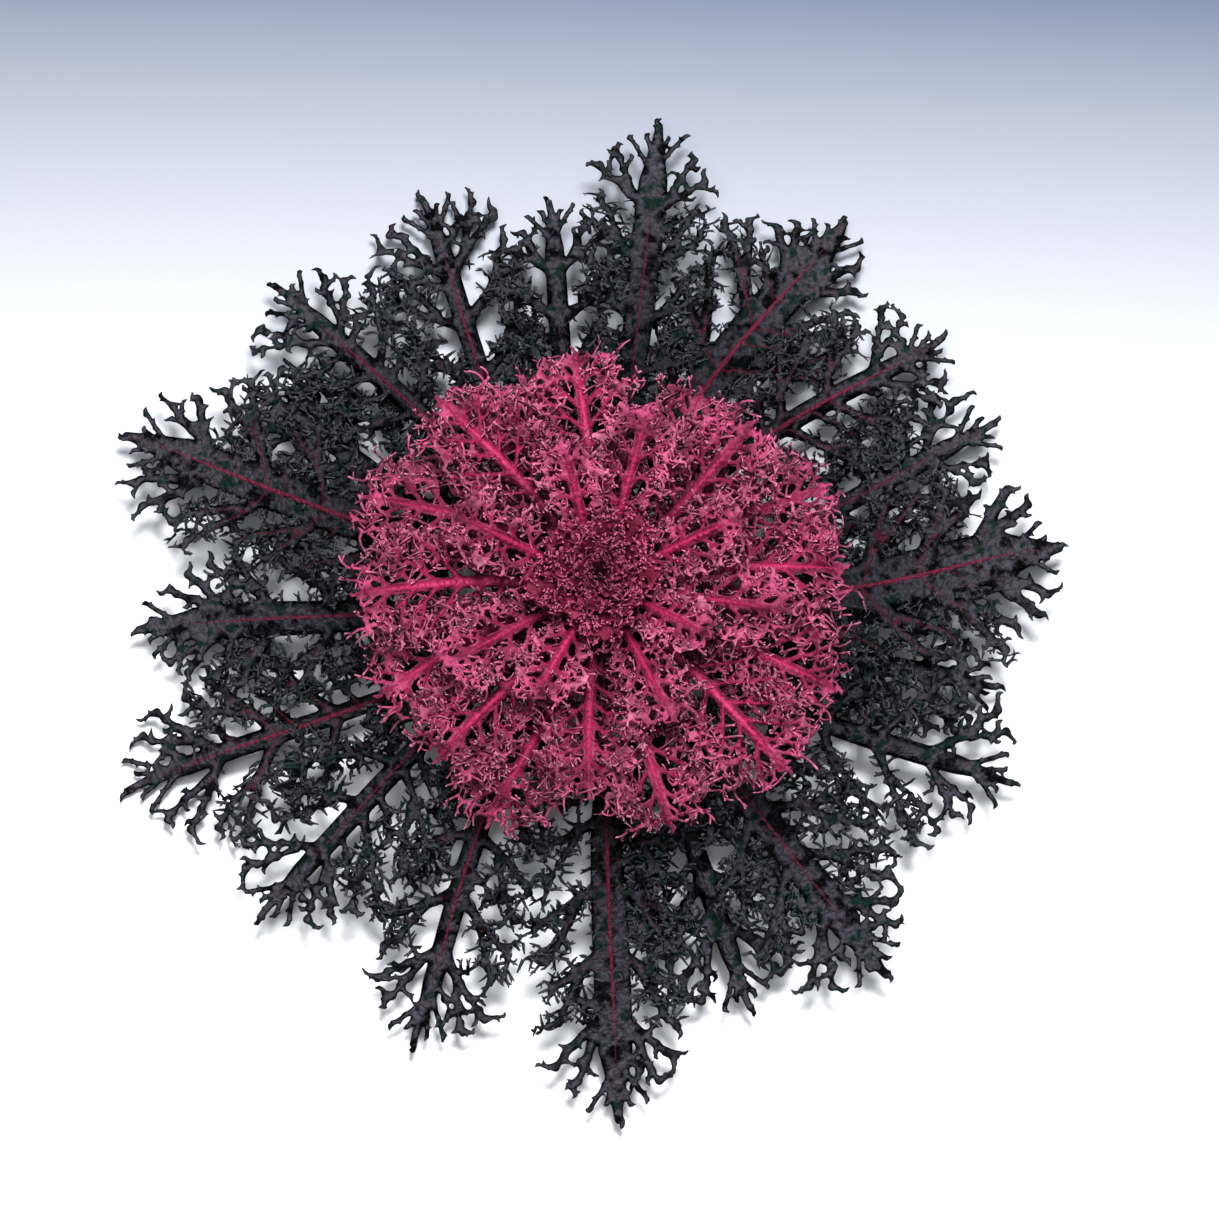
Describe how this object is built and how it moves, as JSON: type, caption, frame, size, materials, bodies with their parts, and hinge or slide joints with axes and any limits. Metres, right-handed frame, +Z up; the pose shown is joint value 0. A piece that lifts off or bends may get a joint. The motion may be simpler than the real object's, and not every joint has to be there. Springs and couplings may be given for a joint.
{
  "type": "ornamental kale head",
  "caption": "Cut head of ornamental kale with feathered leaves: dark outer leaves round a magenta rosette, resting on its cut stem.",
  "frame": {"origin": "centre of the stem's cut face, in the plane that the head rests on", "axes": "+Z up along the stem, -Y is the front of the view, +X to its right"},
  "size_m": [0.3103, 0.3338, 0.0765],
  "materials": {
    "stem": "fresh cut stalk, matt",
    "dark_leaf": "waxy leaf, near black purple with crimson veins, satin",
    "magenta_leaf": "waxy leaf, magenta, satin",
    "heart": "young leaves, dark crimson, satin"
  },
  "bodies": {
    "root": {"stem": "stem", "outer_leaf_01": "dark_leaf", "outer_leaf_02": "dark_leaf", "outer_leaf_03": "dark_leaf", "outer_leaf_04": "dark_leaf", "outer_leaf_05": "dark_leaf", "outer_leaf_06": "dark_leaf", "outer_leaf_07": "dark_leaf", "outer_leaf_08": "dark_leaf", "outer_leaf_09": "dark_leaf", "outer_leaf_10": "dark_leaf", "outer_leaf_11": "dark_leaf", "outer_leaf_12": "dark_leaf", "outer_leaf_13": "dark_leaf", "outer_leaf_14": "dark_leaf", "outer_leaf_15": "dark_leaf", "outer_leaf_16": "dark_leaf", "outer_leaf_17": "dark_leaf", "outer_leaf_18": "dark_leaf", "outer_leaf_19": "dark_leaf", "inner_leaf_01": "magenta_leaf", "inner_leaf_02": "magenta_leaf", "inner_leaf_03": "magenta_leaf", "inner_leaf_04": "magenta_leaf", "inner_leaf_05": "magenta_leaf", "inner_leaf_06": "magenta_leaf", "inner_leaf_07": "magenta_leaf", "inner_leaf_08": "magenta_leaf", "inner_leaf_09": "magenta_leaf", "inner_leaf_10": "magenta_leaf", "inner_leaf_11": "magenta_leaf", "inner_leaf_12": "magenta_leaf", "inner_leaf_13": "magenta_leaf", "inner_leaf_14": "magenta_leaf", "inner_leaf_15": "magenta_leaf", "inner_leaf_16": "magenta_leaf", "inner_leaf_17": "magenta_leaf", "inner_leaf_18": "magenta_leaf", "inner_leaf_19": "magenta_leaf", "inner_leaf_20": "magenta_leaf", "inner_leaf_21": "magenta_leaf", "inner_leaf_22": "magenta_leaf", "inner_leaf_23": "magenta_leaf", "inner_leaf_24": "magenta_leaf", "inner_leaf_25": "magenta_leaf", "heart": "heart"}
  },
  "joints": []
}
